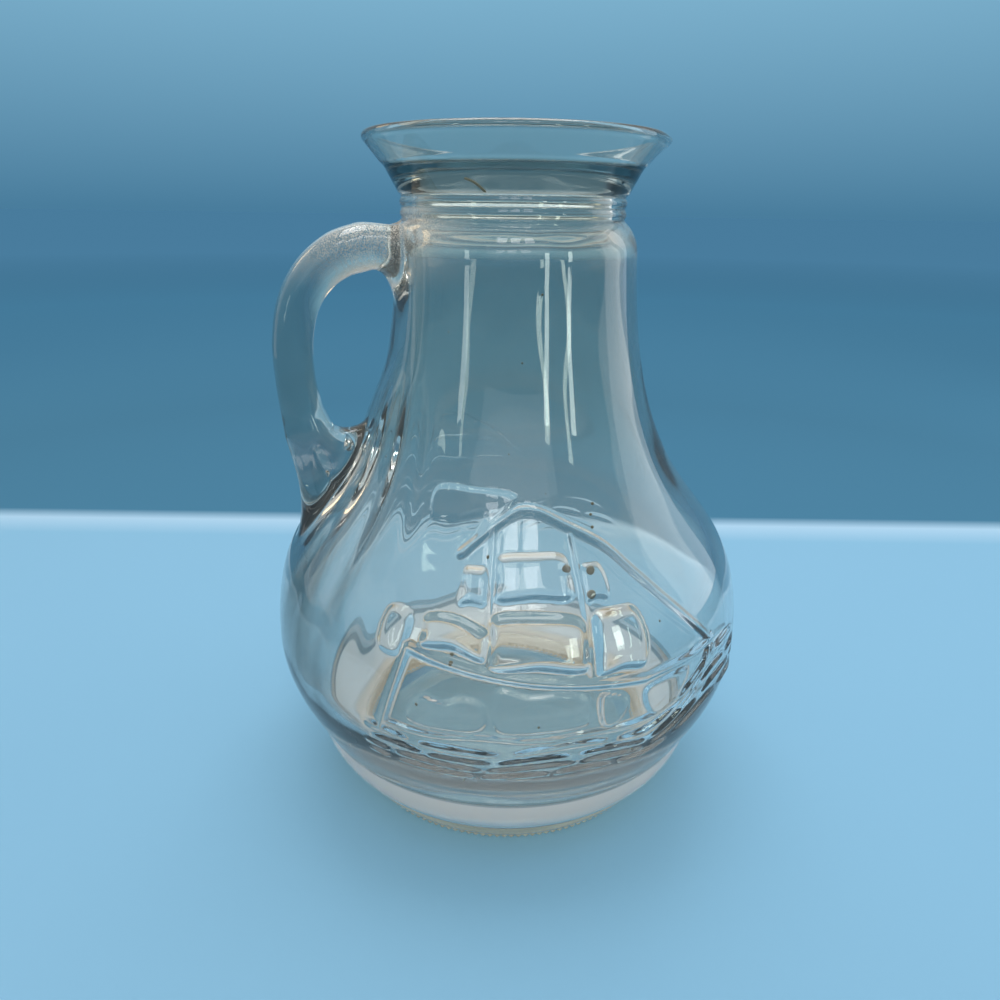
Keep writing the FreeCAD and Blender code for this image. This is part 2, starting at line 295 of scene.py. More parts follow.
def line_distance(x, z, points):
    """Distance from each place to a line through the points."""
    nearest = np.full(x.shape, 1e9)
    for (x0, z0), (x1, z1) in zip(points[:-1], points[1:]):
        dx, dz = x1 - x0, z1 - z0
        share = np.clip(((x - x0) * dx + (z - z0) * dz) / (dx * dx + dz * dz), 0, 1)
        nearest = np.minimum(nearest, np.hypot(x - x0 - share * dx, z - z0 - share * dz))
    return nearest


def inside(x, z, points):
    """Whether each place lies in the closed line through the points."""
    found = np.zeros(x.shape, bool)
    for (x0, z0), (x1, z1) in zip(points, points[1:] + points[:1]):
        if z0 != z1:
            crosses = (z0 > z) != (z1 > z)
            found ^= crosses & (x < (x1 - x0) * (z - z0) / (z1 - z0) + x0)
    return found


def curved(points, closed=False, count=7):
    """A smooth line through the points."""
    points = [np.array(point, float) for point in points]
    if closed:
        points = points[-1:] + points + points[:2]
    else:
        points = [2 * points[0] - points[1]] + points + [2 * points[-1] - points[-2]]
    found = []
    for before, start, end, after in zip(points, points[1:], points[2:], points[3:]):
        for share in np.arange(count) / count:
            found.append(0.5 * (2 * start + (end - before) * share
                                + (2 * before - 5 * start + 4 * end - after) * share**2
                                + (3 * start - before - 3 * end + after) * share**3))
    if not closed:
        found.append(points[-2])
    return [tuple(point) for point in found]


def ridge(x, z, points, width, height):
    """A raised rounded line."""
    near = line_distance(x, z, points) / width
    return height * np.clip(1 - near**2, 0, 1) ** 1.5


def pillow(x, z, points, width, height):
    """A raised panel that domes up from its edge."""
    depth = line_distance(x, z, points + points[:1]) * np.where(inside(x, z, points), 1, -1)
    return height * np.where(depth > 0, 1 - (1 - np.clip(depth / width, 0, 1)) ** 2.2, 0)


def sail(left, right, foot, head, belly, slant=0.0):
    """A square sail's outline: its sides and head bow out with the wind."""
    middle, centre = (left + right) / 2, (foot + head) / 2
    return curved([(left, foot), (middle, foot + belly * 0.3), (right, foot - slant),
                   (right + belly, centre), (right - belly * 0.2, head - slant),
                   (middle, head + belly * 0.5), (left + belly * 0.2, head),
                   (left - belly * 0.2, centre)], closed=True)


# Sails are (left, right, foot, head, belly, slant if any), panel width, height.
SAILS = [
    ((-29, -12, 82, 90, 1.4, 2), 2.6, 1.7),
    ((-10, 15, 77.5, 91, 1.6, 1), 3.0, 1.9),
    ((18.5, 33, 75, 90, 2.0), 2.8, 1.8),
    ((-20, -12.5, 93, 101, 1.0), 2.4, 0.9),
    ((-9, 13, 94, 104, 1.4), 3.0, 1.05),
    ((17.5, 25, 93, 101, 1.2), 2.4, 0.9),
]
# Panels and ropes are (points, width, height): first the panels, then the bent ropes and rails, then
# the straight ones, the two masts before the others.
PANELS = [
    ([(-42, 80), (-35, 79), (-33, 89), (-41, 90)], 2.2, 0.9),
    ([(-36, 119), (-20, 119.5), (-5, 118.5), (-4, 115), (-21, 104.5), (-15, 112.5), (-26, 111),
      (-36, 111.5)], 1.8, 0.7),
    ([(-30, 67.5), (-27, 69.5), (-22, 68.6), (-17, 70.6), (-11.5, 69), (-10.5, 64), (-13, 60.5),
      (-20, 59.8), (-28, 60), (-32, 62)], 1.2, 0.95),
    ([(-8, 73), (0, 71.6), (9, 71.8), (15, 69.8), (15.5, 65), (15, 61), (4, 60.2), (-8, 61)], 1.2, 0.95),
    ([(19, 69.8), (26, 68.2), (27, 64), (24, 60), (19.5, 60.6)], 1.2, 0.95),
    ([(33, 68.5), (49, 69), (44, 60.5), (35, 59.5)], 1.2, 0.7),
]
CURVED_ROPES = [
    ([(-22, 104), (-12, 110), (-3, 114), (5, 114), (14, 111), (28, 105), (37, 97), (46, 88), (60, 74)],
     1.5, 0.9),
    ([(-33, 81.5), (-21, 79), (-10, 77), (3, 75), (15, 73.5), (33, 71.5)], 1.7, 1.2),
    ([(33, 71.5), (42, 72), (52, 72), (62, 73)], 1.5, 1.0),
    ([(60, 72), (55, 64), (46, 58)], 1.4, 0.9),
]
STRAIGHT_ROPES = [
    ([(-11, 78), (-11, 112)], 0.9, 0.7),
    ([(16.8, 75), (16.8, 108)], 0.9, 0.7),
    ([(-21, 104), (-4, 117)], 1.3, 0.8),
    ([(-33, 81.5), (-40, 56)], 1.5, 1.0),
]


def ship(x, z):
    """Height of the ship's relief."""
    layers = [pillow(x, z, sail(*sizes), width, height) for sizes, width, height in SAILS]
    layers += [pillow(x, z, curved(points, closed=True), width, height) for points, width, height in PANELS]
    layers += [ridge(x, z, curved(points), width, height) for points, width, height in CURVED_ROPES]
    layers += [ridge(x, z, points, width, height) for points, width, height in STRAIGHT_ROPES]
    return np.max(layers, axis=0)


# Each row of strokes is its height, half length, half height and start.
WAVE_ROWS = [(54.6, 13.0, 1.7, 1.2), (51.2, 9.0, 1.2, 2.1), (48.2, 10.5, 1.2, 3.9), (45.2, 9.5, 1.1, 5.2)]
WAVE_CLIMB, CLIMB_START, CLIMB_RUN = 13.0, 30.0, 32.0
STERN_END, STERN_FADE, BOW_END, BOW_FADE = -47.0, 8.0, 88.0, 12.0


def waves(x, z):
    """Rows of lens-shaped strokes under the hull, climbing past the bow."""
    climb = WAVE_CLIMB * smooth((x - CLIMB_START) / CLIMB_RUN) + 1.2 * np.sin(x / 9.0)
    crest = curved([(-40, 58.6), (-26, 57.8), (-12, 58.8), (2, 57.8), (16, 58.6), (30, 58.2),
                    (42, 60), (52, 64), (62, 70)])
    found = ridge(x, z, crest, 1.3, 0.8)
    for row, (level, reach, half_height, start) in enumerate(WAVE_ROWS):
        shift = (x + start * 3 + 2.5 * np.sin(x / 17.0 + start)) % (2.2 * reach) - 1.1 * reach
        along = np.abs(shift) / reach
        thick = half_height * np.sqrt(np.clip(1 - along**2, 0, 1)) + 1e-6
        across = np.abs(z - level - climb * (1 - row * 0.12) + 0.8 * along**2) / thick
        found = np.maximum(found, 0.9 * np.clip(1 - across**2, 0, 1) * np.clip(1 - along**2, 0, 1) ** 0.3)
    return found * smooth((x - STERN_END) / STERN_FADE) * smooth((BOW_END - np.abs(x)) / BOW_FADE)


def relief(angle, z):
    """Height of all that is pressed into the wall: one picture on both sides, bow towards the spout."""
    front = np.radians(angle - SHIP_FRONT) * RELIEF_RADIUS
    back = np.radians(SHIP_BACK - angle) * RELIEF_RADIUS
    near = np.maximum(ship(front, z), waves(front, z))
    far = np.maximum(ship(back, z), waves(back, z))
    return np.maximum(near, BACK_STRENGTH * far)


# The vessel's surface: the turned outline, moved out by relief, moulding and spout.

# Spreads and middles round the axis are in degrees. A band is two heights, each with the softness of
# its end.
RELIEF_TOP, CLEARING_SPREAD, CLEARING_START, CLEARING_RISE = 125.0, 17.0, 70.0, 14.0
WAVY_OUTSIDE, WAVY_INSIDE, WAVY_BAND = 0.07, 0.24, (14, 20, 196, 12)
DRAPE_OUTSIDE, DRAPE_INSIDE, DRAPE_FOLDS, DRAPE_SWAY = 0.28, -0.36, 26, 1.4
DRAPE_MIDDLE, DRAPE_SPREAD, DRAPE_BAND = 34.0, 20.0, (45, 30, 150, 30)
STIPPLE_DEPTH, STIPPLE_COUNT, STIPPLE_MIDDLE, STIPPLE_SPREAD, STIPPLE_TOP = 0.3, 150, 0.7, 0.9, 2.2
FLATTENING, FLAT_SPREAD, FLAT_BAND = 2.3, 34.0, (128, 22, 188, 10)
SPOUT_SPREAD, SPOUT_POWER = 17.0, 1.6


def bump(value):
    """1 at nought, falling softly to 0 on both sides."""
    return np.exp(-(value**2))


def between(height, low, low_soft, high, high_soft):
    """1 between two heights, with soft ends."""
    return smooth((height - low) / low_soft) * smooth((high - height) / high_soft)


def moulding(turn, height):
    """Soft unevenness of a pressed wall."""
    return (np.sin(turn * 3 + height * 0.031) * 0.5 + np.sin(turn * 7 - height * 0.083 + 1.0) * 0.3
            + np.sin(turn * 13 + height * 0.16 + 2.0) * 0.14)


def surface(angle, length):
    """Places in millimetres on the vessel at angles round it and distances along the outline."""
    radius = np.interp(length, line_length, line[:, 0])
    height = np.interp(length, line_length, line[:, 1])
    run_r = np.interp(length, line_length, line_slope[:, 0])
    run_z = np.interp(length, line_length, line_slope[:, 1])
    size = np.hypot(run_r, run_z)
    outside = length < crown_length
    turn = np.radians(angle)
    from_handle = angle - HANDLE_ANGLE

    above_band = length > length_at(BAND_HEIGHT + CREASE_STEP)
    on_wall = outside & (height > CARVED_START) & (height < RELIEF_TOP) & above_band
    push = np.zeros(angle.shape)
    push[on_wall] = relief(angle[on_wall], height[on_wall])
    push *= 1 - bump(from_handle / CLEARING_SPREAD) * smooth((height - CLEARING_START) / CLEARING_RISE)
    wavy = moulding(turn, height) * between(height, *WAVY_BAND)
    push += np.where(outside, WAVY_OUTSIDE, WAVY_INSIDE) * wavy
    near_handle = bump((np.abs(from_handle) - DRAPE_MIDDLE) / DRAPE_SPREAD) * between(height, *DRAPE_BAND)
    drape = np.sin(turn * DRAPE_FOLDS + DRAPE_SWAY * np.sin(height * 0.05))
    push += drape * np.where(outside, DRAPE_OUTSIDE, DRAPE_INSIDE) * near_handle
    foot_edge = outside & (radius > FOOT_RADIUS - FOOT_EDGE - 0.5) & (height < STIPPLE_TOP)
    stipple = np.sin(turn * STIPPLE_COUNT) * bump((height - STIPPLE_MIDDLE) / STIPPLE_SPREAD)
    push += np.where(foot_edge, STIPPLE_DEPTH * stipple, 0)

    radius = radius + push * run_z / size
    height = height - push * run_r / size
    radius = radius - FLATTENING * bump(from_handle / FLAT_SPREAD) * between(height, *FLAT_BAND)
    off_axis = (angle + 180) % 360 - 180
    climb = np.clip((height - LEDGE_HEIGHT) / (TOTAL_HEIGHT - LEDGE_HEIGHT), 0, 1)
    radius = radius + (SPOUT_REACH - LIP_RADIUS) * bump(off_axis / SPOUT_SPREAD) * climb**SPOUT_POWER
    return np.stack([radius * np.cos(turn), radius * np.sin(turn), height], axis=-1)


# The handle: oval rings along a path, blended into the vessel at both roots.

PATH = [(-46.0, 180.6), (-53.0, 178.4), (-60.0, 173.2), (-65.4, 165.0), (-68.0, 154.0), (-68.1, 143.0),
        (-67.0, 133.0), (-65.6, 126.5)]
HALF_THICKNESS = [6.9, 6.7, 6.3, 6.1, 6.0, 6.0, 6.4, 7.4]
HALF_WIDTH = [8.9, 8.6, 8.3, 8.2, 8.2, 8.3, 8.8, 9.6]
SECTION_POWER, PATH_STEPS = 2.5, 12
TOP_FILL_RINGS, LOW_FILL_RINGS = 16, 26
TOP_PULL, RING_PULL, LOW_PULL = 1.15, 1.0, 1.1
EDGE_NUDGE = 0.02


def handle_rings(start_turns, end_turns):
    """Rings of points along the handle's path, as (ring, point, xyz)."""
    path = np.array(curved(PATH, count=PATH_STEPS))
    along = np.linspace(0, len(PATH) - 1, len(path))
    thick = np.interp(along, range(len(PATH)), HALF_THICKNESS)
    width = np.interp(along, range(len(PATH)), HALF_WIDTH)
    run = np.gradient(path, axis=0)
    run /= np.hypot(*run.T)[:, None]
    share = smooth(np.linspace(0, 1, len(path)))
    rings = []
    for place, way, half_thick, half_wide, part in zip(path, run, thick, width, share):
        turns = start_turns * (1 - part) + end_turns * part
        out = np.array([way[1], -way[0]])
        cosine, sine = np.cos(turns), np.sin(turns)
        size = to_oval(cosine, sine, SECTION_POWER)
        reach, side = half_thick * size * cosine, half_wide * size * sine
        rings.append(np.stack([place[0] + out[0] * reach, side, place[1] + out[1] * reach], axis=1))
    ways = np.array([(way[0], 0, way[1]) for way in run])
    return np.array(rings), ways


def hermite(start, start_way, end, end_way, count):
    """Points between two rings that leave and arrive along the given ways."""
    found = []
    for share in np.arange(1, count) / count:
        found.append((2 * share**3 - 3 * share**2 + 1) * start + (share**3 - 2 * share**2 + share) * start_way
                     + (3 * share**2 - 2 * share**3) * end + (share**3 - share**2) * end_way)
    return found


def root_ways(root, loop):
    """At each point of a root's edge, the way along the surface towards the root's middle."""
    here = np.array([(angle_grid[place], length_grid[place]) for place in loop])
    middle = np.array(root.centre)
    nudge = here + (middle - here) * EDGE_NUDGE
    way = surface(nudge[:, 0], nudge[:, 1]) - surface(here[:, 0], here[:, 1])
    return way / np.linalg.norm(way, axis=1)[:, None]


def root_turns(root, loop, from_top):
    """Angle of each edge point round the root's middle, from its top (or bottom) towards +Y."""
    side = np.array([-(angle_grid[place] - root.centre[0]) / root.half[0] for place in loop])
    rise = np.array([(length_grid[place] - root.centre[1]) / root.half[1] for place in loop])
    turns = np.arctan2(side, rise if from_top else -rise)
    return np.unwrap(turns)


def make_handle(vessel_points):
    """All rings of the handle between its roots' edges, and the grid places of those edges."""
    top_loop, low_loop = top_root.loop(True), low_root.loop(False)
    rings, ways = handle_rings(root_turns(top_root, top_loop, True), root_turns(low_root, low_loop, False))
    top_edge = np.array([vessel_points[place] for place in top_loop])
    low_edge = np.array([vessel_points[place] for place in low_loop])

    top_gap = np.linalg.norm(rings[0] - top_edge, axis=1)[:, None]
    low_gap = np.linalg.norm(rings[-1] - low_edge, axis=1)[:, None]
    top_fill = hermite(top_edge, root_ways(top_root, top_loop) * top_gap * TOP_PULL,
                       rings[0], ways[0] * top_gap * RING_PULL, TOP_FILL_RINGS)
    low_fill = hermite(rings[-1], ways[-1] * low_gap * RING_PULL,
                       low_edge, -root_ways(low_root, low_loop) * low_gap * LOW_PULL, LOW_FILL_RINGS)
    return np.array(top_fill + list(rings) + low_fill), top_loop, low_loop


def make_pitcher():
    """The vessel's grid with both root blocks cut out, joined to the handle's rings as one skin."""
    points = surface(angle_grid, length_grid)
    row_count, column_count = angle_grid.shape
    index = np.arange(row_count * column_count).reshape(row_count, column_count)
    index[0, :] = index[0, 0]
    index[-1, :] = index[-1, 0]
    keep = np.ones((row_count - 1, column_count), bool)
    for root in (top_root, low_root):
        keep[root.low:root.high, root.left:root.right] = False
    beside = np.roll(index, -1, axis=1)
    quads = np.stack([index[:-1], beside[:-1], beside[1:], index[1:]], axis=-1)[keep]

    rings, top_loop, low_loop = make_handle(points)
    ring_index = index.size + np.arange(rings.shape[0] * rings.shape[1]).reshape(rings.shape[:2])
    top_index = np.array([index[place] for place in top_loop])
    low_index = np.array([index[place] for place in low_loop])
    ring_index = np.vstack([top_index, ring_index, low_index])
    after = np.roll(ring_index, -1, axis=1)
    handle = np.stack([ring_index[:-1], after[:-1], after[1:], ring_index[1:]], axis=-1).reshape(-1, 4)

    faces = [list(dict.fromkeys(quad)) for quad in np.vstack([quads, handle]).tolist()]
    everything = np.vstack([points.reshape(-1, 3), rings.reshape(-1, 3)]) * MM
    used = np.zeros(len(everything), bool)
    for corners in faces:
        used[corners] = True
    new_index = np.cumsum(used) - 1
    mesh = bpy.data.meshes.new("pitcher")
    faces = [[int(new_index[corner]) for corner in corners] for corners in faces]
    mesh.from_pydata(everything[used].tolist(), [], faces)
    mesh.validate()
    mesh.shade_smooth()
    pitcher = bpy.data.objects.new("pitcher", mesh)
    bpy.context.scene.collection.objects.link(pitcher)
    return pitcher


# Materials.

def ramp(tree, source, stops):
    """Colours that follow a number, from (place, colour) stops between 0 and 1."""
    stops = list(stops)
    node = tree.nodes.new("ShaderNodeValToRGB")
    elements = node.color_ramp.elements
    while len(elements) < len(stops):
        elements.new(0.5)
    for element, (place, colour) in zip(elements, stops):
        element.position = place
        element.color = (*colour, 1)
    tree.links.new(source, node.inputs["Fac"])
    return node.outputs["Color"]


class Nodes:
    """Short ways to add nodes to a material."""

    def __init__(self, material):
        material.use_nodes = True
        self.tree = material.node_tree
        self.shader = self.tree.nodes["Principled BSDF"]
        self.output = self.tree.nodes["Material Output"]

    def feed(self, socket, value):
        """Links an output to the socket, or sets the socket's own value."""
        if hasattr(value, "node"):
            self.tree.links.new(value, socket)
        else:
            socket.default_value = value

    def maths(self, operation, *values):
        """The output of one Math node."""
        node = self.tree.nodes.new("ShaderNodeMath")
        node.operation = operation
        for socket, value in zip(node.inputs, values):
            self.feed(socket, value)
        return node.outputs["Value"]

    def chain(self, operation, first, *others):
        """The same operation again and again, from the first value on."""
        for value in others:
            first = self.maths(operation, first, value)
        return first

    def product(self, *values):
        return self.chain("MULTIPLY", *values)

    def highest(self, *values):
        return self.chain("MAXIMUM", *values)

    def distance(self, x, y):
        """How far a place is from the upright axis."""
        return self.maths("SQRT", self.maths("ADD", self.product(x, x), self.product(y, y)))

    def span(self, source, low, high):
        """0 where the source is low millimetres, 1 where it is high."""
        node = self.tree.nodes.new("ShaderNodeMapRange")
        node.inputs["From Min"].default_value = low * MM
        node.inputs["From Max"].default_value = high * MM
        self.feed(node.inputs["Value"], source)
        return node.outputs["Result"]

    def mix(self, share, first, second):
        """The first colour where the share is 0, the second where it is 1."""
        node = self.tree.nodes.new("ShaderNodeMix")
        node.data_type = "RGBA"
        self.feed(node.inputs["Factor"], share)
        self.feed(node.inputs["A"], first)
        self.feed(node.inputs["B"], second)
        return node.outputs["Result"]

    def place(self):
        """The piece's own coordinates, and the same split into X, Y and Z."""
        node = self.tree.nodes.new("ShaderNodeTexCoord")
        split = self.tree.nodes.new("ShaderNodeSeparateXYZ")
        self.feed(split.inputs["Vector"], node.outputs["Object"])
        return node.outputs["Object"], [split.outputs[axis] for axis in "XYZ"]

    def noise(self, vector, scale, squash=1.0):
        """Soft random grain; a squash below 1 draws it out upwards."""
        stretch = self.tree.nodes.new("ShaderNodeMapping")
        stretch.inputs["Scale"].default_value = (1.0, 1.0, squash)
        self.feed(stretch.inputs["Vector"], vector)
        node = self.tree.nodes.new("ShaderNodeTexNoise")
        node.inputs["Scale"].default_value = scale
        self.feed(node.inputs["Vector"], stretch.outputs["Vector"])
        return node.outputs["Fac"]


# RING_SHADE is painted shade: the dark band round the ledge under the lip.
CLEAR, NECK_TINT, RING_SHADE = (0.885, 0.90, 0.88), (0.82, 0.825, 0.765), (0.19, 0.24, 0.225)
# FROST_AND_SHEEN_TINT is frost whose tan colour is a painted warm reflection.
# SIDE_SHADE_TINT is painted shade on the belly's left side, by the handle.
SIDE_SHADE_TINT, FROST_AND_SHEEN_TINT = (0.38, 0.36, 0.32), (0.88, 0.76, 0.65)
# CREASE_SHADE_TINT is painted shade in the foot's two creases.
# FOOT_WARM_REFLECTION_TINT is a painted warm reflection on the foot's edge.
FOOT_WARM_REFLECTION_TINT, FOOT_ROLL, CREASE_SHADE_TINT = (0.86, 0.66, 0.44), (0.98, 0.96, 0.95), (0.30, 0.33, 0.32)
SHADOW_TINT = (0.68, 0.68, 0.66)
# Bands are (low, high, softness) of height. Spans are the places of 0 and 1, across or up.
FOOT_EDGE_BAND, FOOT_BAND, RING_SHADE_BAND = (-1, 9.9, 0.5), (11.1, 24.9, 0.5), (196.4, 202.8, 1.0)
CREASE_SHADE_BANDS = [(10.4, 10.9, 0.3), (25.4, 26.6, 0.4)]
OUTSIDE_SPAN, NECK_SPAN = (51, 55), (92, 128)
SIDE_SHADE_ACROSS, SIDE_SHADE_RISE = (-40, -74), (30, 60)
FROST_AND_SHEEN_BY_HANDLE, FROST_AND_SHEEN_BY_SPOUT, FROST_AND_SHEEN_RISE, FROST_AND_SHEEN_END = (-16, -36), (22, 37), (168, 187), (194, 189)
SIDE_SHADE_LEAST, SPECKLE_LEAST, SPOUT_SHARE = 0.45, 0.3, 0.5
STREAK_CONTRAST, SPECKLE_CONTRAST = (3.4, -1.15), (5.0, -2.0)
FOOT_HAZE, FOOT_EDGE_HAZE, FROST_HAZE, OTHER_HAZE = 0.42, 0.72, 0.6, 0.022
GLASS_ROUGHNESS, GLASS_IOR = 0.02, 1.51
STREAK_SCALE, STREAK_SQUASH, SPECKLE_SCALE = 60.0, 0.16, 2400.0


def glass():
    """Clear soda glass, a little hazy from use, that lets lamps through to the floor."""
    material = bpy.data.materials.new("clear_glass")
    nodes = Nodes(material)
    vector, (x, y, z) = nodes.place()
    outer = nodes.span(nodes.distance(x, y), *OUTSIDE_SPAN)

    def band(low, high, soft):
        return nodes.product(nodes.span(z, low - soft, low), nodes.span(z, high + soft, high))

    # Painted reflection: the hazy band at the foot's edge is tinted tan for warm room light reflected there.
    foot_edge = nodes.product(outer, band(*FOOT_EDGE_BAND))
    foot = nodes.product(outer, band(*FOOT_BAND))
    # Painted shade: dark lines along the two creases of the foot.
    crease_shade = nodes.product(outer, nodes.maths("ADD", *[band(*places) for places in CREASE_SHADE_BANDS]))
    # Painted shade: a dark grey-green band round the ledge under the lip, standing in for dark surroundings
    # seen through the thick glass there.
    ring = band(*RING_SHADE_BAND)
    streaks = nodes.noise(vector, STREAK_SCALE, STREAK_SQUASH)
    streaks = nodes.maths("MULTIPLY_ADD", streaks, *STREAK_CONTRAST)
    # Painted shade: streaky darkening of the belly's left side under the handle, standing in for the handle's
    # root seen through the glass.
    side_shade = nodes.product(nodes.span(x, *SIDE_SHADE_ACROSS), nodes.highest(streaks, SIDE_SHADE_LEAST),
                          nodes.span(z, *SIDE_SHADE_RISE))
    speckle = nodes.maths("MULTIPLY_ADD", nodes.noise(vector, SPECKLE_SCALE), *SPECKLE_CONTRAST)
    # Speckled frost at the top of the neck by the handle, fainter by the spout: its haze is the frost, its
    # tan colour a painted warm reflection.
    by_spout = nodes.product(nodes.span(x, *FROST_AND_SHEEN_BY_SPOUT), SPOUT_SHARE)
    sides = nodes.highest(nodes.span(x, *FROST_AND_SHEEN_BY_HANDLE), by_spout)
    frost_and_sheen = nodes.product(nodes.span(z, *FROST_AND_SHEEN_RISE), sides, nodes.span(z, *FROST_AND_SHEEN_END),
                          nodes.maths("MINIMUM", nodes.highest(speckle, SPECKLE_LEAST), 1.0))
    colour = nodes.mix(nodes.span(z, *NECK_SPAN), (*CLEAR, 1), (*NECK_TINT, 1))
    for share, tint in ((nodes.maths("MINIMUM", side_shade, 1.0), SIDE_SHADE_TINT), (ring, RING_SHADE), (foot, FOOT_ROLL),
                        (foot_edge, FOOT_WARM_REFLECTION_TINT), (crease_shade, CREASE_SHADE_TINT), (frost_and_sheen, FROST_AND_SHEEN_TINT)):
        colour = nodes.mix(share, colour, (*tint, 1))
    nodes.feed(nodes.shader.inputs["Base Color"], colour)
    haze = nodes.highest(nodes.product(foot, FOOT_HAZE), nodes.product(frost_and_sheen, FROST_HAZE),
                         nodes.product(foot_edge, FOOT_EDGE_HAZE), OTHER_HAZE)
    nodes.feed(nodes.shader.inputs["Transmission Weight"], nodes.maths("SUBTRACT", 1.0, haze))
    nodes.shader.inputs["Roughness"].default_value = GLASS_ROUGHNESS
    nodes.shader.inputs["IOR"].default_value = GLASS_IOR
    clear = nodes.tree.nodes.new("ShaderNodeBsdfTransparent")
    clear.inputs["Color"].default_value = (*SHADOW_TINT, 1)
    path = nodes.tree.nodes.new("ShaderNodeLightPath")
    mix = nodes.tree.nodes.new("ShaderNodeMixShader")
    nodes.feed(mix.inputs["Fac"], path.outputs["Is Shadow Ray"])
    nodes.feed(mix.inputs[1], nodes.shader.outputs["BSDF"])
    nodes.feed(mix.inputs[2], clear.outputs["BSDF"])
    nodes.feed(nodes.output.inputs["Surface"], mix.outputs["Shader"])
    return material


# Stage, light and camera.

SHEET, SHEET_EDGE = (0.235, 0.455, 0.625), (0.38, 0.57, 0.72)
TABLE, TABLE_FAR, TABLE_SKYLINE = (0.064, 0.19, 0.295), (0.105, 0.325, 0.51), (0.155, 0.43, 0.67)
SKYLINE, SKY, CEILING = (0.068, 0.205, 0.335), (0.20, 0.43, 0.60), (0.62, 0.61, 0.58)
# The stage is in metres. The sheet's stops are shares of twice its reach, the table's are shares of its
# reach, and the sky's say how steeply a ray rises.
SHEET_REACH, SHEET_STOPS = (0.36, 0.215), (0.432, 0.488)
TABLE_REACH, TABLE_STOPS = 3.6, (0.16, 0.45, 1.0)
EDGE_CONTRAST = (28.0, -13.67)
FLOOR_REACH, FLOOR_ROUGHNESS = 40.0, 0.7
SKY_STOPS = (0.0, 0.22, 0.6)
WORLD_LIGHT, WORLD_STRENGTH = (0.85, 0.93, 1.0), 0.5
# The camera's angles are in degrees, and its place and lens in millimetres.
CAMERA_ANGLE, CAMERA_PITCH, CAMERA_ROLL = -15.0, 20.98, 0.76
CAMERA_BACK, CAMERA_UP, CAMERA_ASIDE = 245.8, 190.9, -2.8
CAMERA_LENS, SENSOR_WIDTH, CLIP_START = 27.13, 36, 0.01
LAMP_AIM = 0.12
LIGHT_BOUNCES, DIFFUSE_BOUNCES = 8, 2


def make_floor():
    """A pale blue sheet on a darker blue table that runs to the skyline."""
    mesh = bpy.data.meshes.new("floor")
    corners = [(-1, -1), (1, -1), (1, 1), (-1, 1)]
    mesh.from_pydata([(FLOOR_REACH * x, FLOOR_REACH * y, 0) for x, y in corners], [], [(0, 1, 2, 3)])
    floor = bpy.data.objects.new("floor", mesh)
    floor.rotation_euler[2] = math.radians(CAMERA_ANGLE)
    bpy.context.scene.collection.objects.link(floor)
    material = bpy.data.materials.new("floor")
    nodes = Nodes(material)
    nodes.shader.inputs["Roughness"].default_value = FLOOR_ROUGHNESS
    nodes.shader.inputs["Specular IOR Level"].default_value = 0.0
    _, across = nodes.place()
    sides = [nodes.maths("DIVIDE", nodes.maths("ABSOLUTE", way), reach)
             for way, reach in zip(across, SHEET_REACH)]
    sheet = nodes.maths("DIVIDE", nodes.highest(*sides), 2.0)
    far = nodes.maths("DIVIDE", nodes.distance(*across[:2]), TABLE_REACH)
    table = ramp(nodes.tree, far, zip(TABLE_STOPS, (TABLE, TABLE_FAR, TABLE_SKYLINE)))
    near = ramp(nodes.tree, sheet, zip(SHEET_STOPS, (SHEET, SHEET_EDGE)))
    on_table = nodes.maths("MULTIPLY_ADD", sheet, *EDGE_CONTRAST)
    on_table = nodes.maths("MINIMUM", nodes.highest(on_table, 0.0), 1.0)
    nodes.feed(nodes.shader.inputs["Base Color"], nodes.mix(on_table, near, table))
    mesh.materials.append(material)


def make_world():
    """Plain light for the object; the camera and the glass see a blue backdrop under a pale ceiling."""
    world = bpy.data.worlds.new("studio")
    bpy.context.scene.world = world
    world.use_nodes = True
    tree = world.node_tree
    light = tree.nodes["Background"]
    light.inputs["Color"].default_value = (*WORLD_LIGHT, 1)
    light.inputs["Strength"].default_value = WORLD_STRENGTH
    way = tree.nodes.new("ShaderNodeTexCoord")
    split = tree.nodes.new("ShaderNodeSeparateXYZ")
    tree.links.new(way.outputs["Generated"], split.inputs["Vector"])
    seen = tree.nodes.new("ShaderNodeBackground")
    backdrop = ramp(tree, split.outputs["Z"], zip(SKY_STOPS, (SKYLINE, SKY, CEILING)))
    tree.links.new(backdrop, seen.inputs["Color"])
    path = tree.nodes.new("ShaderNodeLightPath")
    either = path.outputs["Is Camera Ray"]
    for kind in ("Is Glossy Ray", "Is Transmission Ray"):
        join = tree.nodes.new("ShaderNodeMath")
        join.operation = "MAXIMUM"
        tree.links.new(either, join.inputs[0])
        tree.links.new(path.outputs[kind], join.inputs[1])
        either = join.outputs["Value"]
    mix = tree.nodes.new("ShaderNodeMixShader")
    tree.links.new(either, mix.inputs["Fac"])
    tree.links.new(light.outputs["Background"], mix.inputs[1])
    tree.links.new(seen.outputs["Background"], mix.inputs[2])
    tree.links.new(mix.outputs["Shader"], tree.nodes["World Output"].inputs["Surface"])


def softbox(name, angle, distance, height, size, glow, colour=(1, 1, 1)):
    """A lamp round the pitcher, its angle counted from the camera's side; a glow of 1 looks white."""
    lamp = bpy.data.lights.new(name, "AREA")
    lamp.shape = "RECTANGLE"
    lamp.size, lamp.size_y = size
    lamp.energy = glow * math.pi * size[0] * size[1]
    lamp.color = colour
    holder = bpy.data.objects.new(name, lamp)
    turn = math.radians(CAMERA_ANGLE + angle)
    holder.location = (distance * math.sin(turn), -distance * math.cos(turn), height)
    down = math.atan2(height - LAMP_AIM, distance)
    holder.rotation_euler = (math.pi / 2 - down, 0, turn)
    holder.visible_camera = False
    bpy.context.scene.collection.objects.link(holder)


LUMP_LEVELS, LUMP_SIDES = 8, 12


